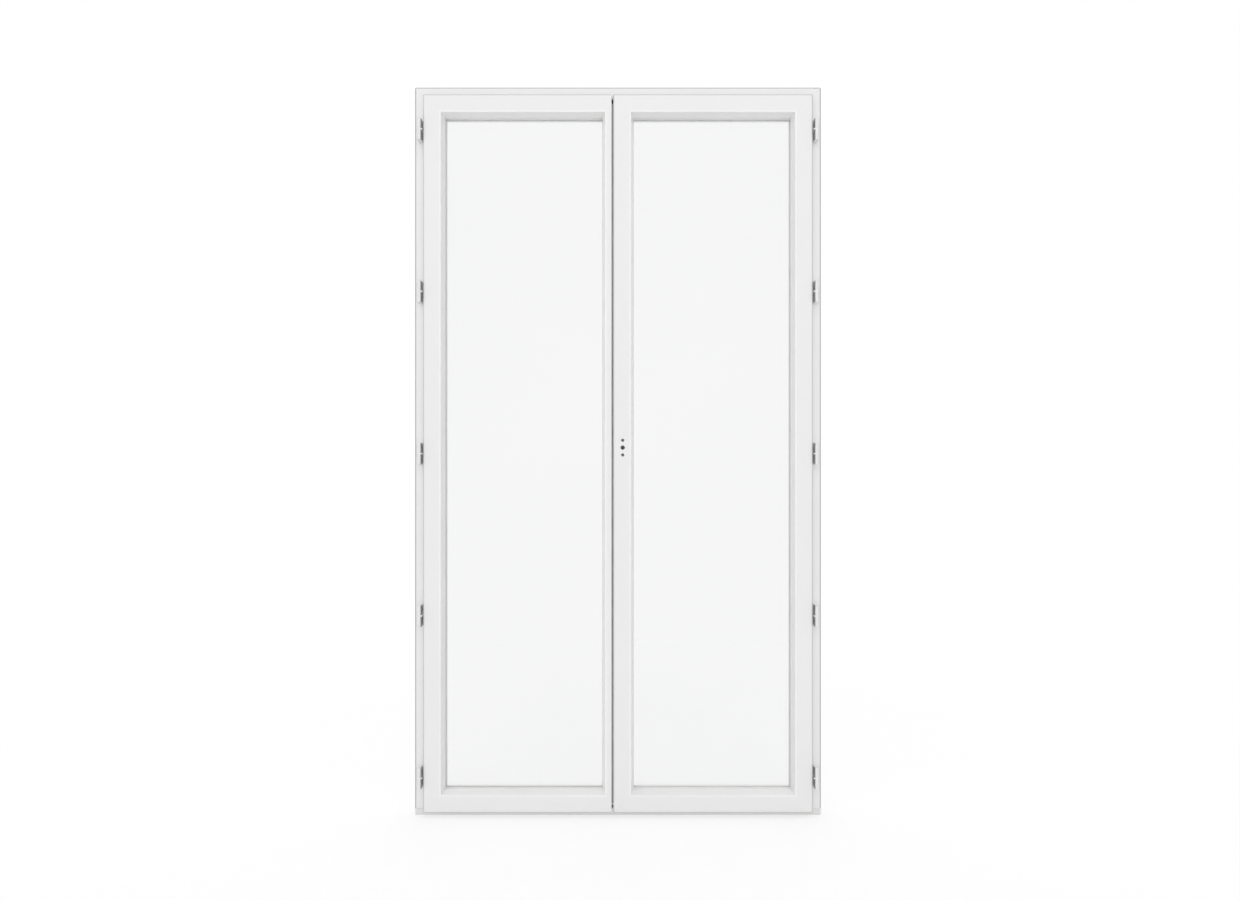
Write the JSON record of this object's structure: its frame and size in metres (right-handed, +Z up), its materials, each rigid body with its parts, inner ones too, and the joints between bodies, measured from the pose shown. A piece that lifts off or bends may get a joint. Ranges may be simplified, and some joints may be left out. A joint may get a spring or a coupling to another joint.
{
  "type": "french doors",
  "caption": "Glazed double door in white plastic profiles with frame, low threshold, barrel hinges, lock rods and edge bolts; leaves open inwards",
  "frame": {"origin": "underside of the threshold, half way across the door and half way through the frame's depth", "axes": "+X to the right as seen from the room, +Y outdoors, +Z up"},
  "size_m": [1.2, 0.113, 2.15],
  "materials": {
    "white_profile": "satin white extruded plastic",
    "white_moulding": "satin white moulded plastic",
    "white_aluminium": "white powder coat on aluminium",
    "white_hinge_paint": "white paint on steel",
    "threshold_aluminium": "pale anodised",
    "break_plastic": "black reinforced plastic",
    "grey_seal": "matt pale grey seal",
    "block_plastic": "moulded packer",
    "spacer_bar": "white warm-edge plastic",
    "clear_glass": "clear float glass",
    "zinc_steel": "zinc plated",
    "follower_zinc": "dark cast zinc alloy",
    "nylon": "white nylon"
  },
  "bodies": {
    "frame": {"outer_frame": "white_profile", "frame_gasket": "grey_seal", "threshold_inner_rail": "threshold_aluminium", "threshold_outer_rail": "threshold_aluminium", "threshold_thermal_break": "break_plastic", "threshold_end_cap_left": "white_moulding", "threshold_end_cap_right": "white_moulding", "jamb_foot_left": "white_moulding", "jamb_foot_right": "white_moulding", "head_keep": "zinc_steel", "threshold_keep": "zinc_steel", "hinge_bases_left": "white_hinge_paint", "hinge_bases_right": "white_hinge_paint", "hinge_pins_left": "white_hinge_paint", "hinge_pins_right": "white_hinge_paint"},
    "active_leaf": {"active_sash": "white_profile", "active_bead_left": "white_profile", "active_bead_right": "white_profile", "active_bead_bottom": "white_profile", "active_bead_top": "white_profile", "active_inner_pane": "clear_glass", "active_outer_pane": "clear_glass", "active_spacer": "spacer_bar", "active_inner_glazing_seal": "grey_seal", "active_outer_glazing_seal": "grey_seal", "active_lip_gasket": "grey_seal", "active_setting_blocks": "block_plastic", "active_weather_bar": "white_aluminium", "active_hinge_straps": "white_hinge_paint", "active_hinge_collars": "nylon", "gearbox_case": "zinc_steel", "lock_faceplate": "zinc_steel"},
    "passive_leaf": {"passive_sash": "white_profile", "passive_bead_left": "white_profile", "passive_bead_right": "white_profile", "passive_bead_bottom": "white_profile", "passive_bead_top": "white_profile", "passive_inner_pane": "clear_glass", "passive_outer_pane": "clear_glass", "passive_spacer": "spacer_bar", "passive_inner_glazing_seal": "grey_seal", "passive_outer_glazing_seal": "grey_seal", "passive_lip_gasket": "grey_seal", "passive_setting_blocks": "block_plastic", "passive_weather_bar": "white_aluminium", "passive_hinge_straps": "white_hinge_paint", "passive_hinge_collars": "nylon", "meeting_cover_strip": "white_profile", "lock_strikers": "zinc_steel", "top_bolt_plate": "zinc_steel", "bottom_bolt_plate": "zinc_steel"},
    "follower": {"spindle_follower": "follower_zinc"},
    "upper_rod": {"upper_lock_rod": "zinc_steel"},
    "lower_rod": {"lower_lock_rod": "zinc_steel"},
    "top_bolt": {"top_edge_bolt": "zinc_steel"},
    "bottom_bolt": {"bottom_edge_bolt": "zinc_steel"}
  },
  "joints": [
    {"name": "active_leaf_hinge", "type": "hinge", "parent": "frame", "child": "active_leaf", "pos_m": [0.5815, -0.062, 1.0675], "axis": [0, 0, 1], "range_deg": [0, 110]},
    {"name": "passive_leaf_hinge", "type": "hinge", "parent": "frame", "child": "passive_leaf", "pos_m": [-0.5815, -0.062, 1.0675], "axis": [0, 0, -1], "range_deg": [0, 88]},
    {"name": "upper_rod_slide", "type": "slide", "parent": "active_leaf", "child": "upper_rod", "axis": [0, 0, 1], "range_m": [0, 0.02]},
    {"name": "lower_rod_slide", "type": "slide", "parent": "active_leaf", "child": "lower_rod", "axis": [0, 0, -1], "range_m": [0, 0.02]},
    {"name": "spindle_turn", "type": "hinge", "parent": "active_leaf", "child": "follower", "pos_m": [0.014, -0.025, 1.085], "axis": [0, 1, 0], "range_deg": [0, 90]},
    {"name": "top_bolt_slide", "type": "slide", "parent": "passive_leaf", "child": "top_bolt", "axis": [0, 0, 1], "range_m": [0, 0.02]},
    {"name": "bottom_bolt_slide", "type": "slide", "parent": "passive_leaf", "child": "bottom_bolt", "axis": [0, 0, -1], "range_m": [0, 0.02]}
  ],
  "couplings": [
    {"joint": "passive_leaf_hinge", "follows": "active_leaf_hinge", "ratio": 0.8},
    {"joint": "lower_rod_slide", "follows": "upper_rod_slide", "ratio": 1},
    {"joint": "spindle_turn", "follows": "upper_rod_slide", "rad_per_m": 78.5}
  ]
}
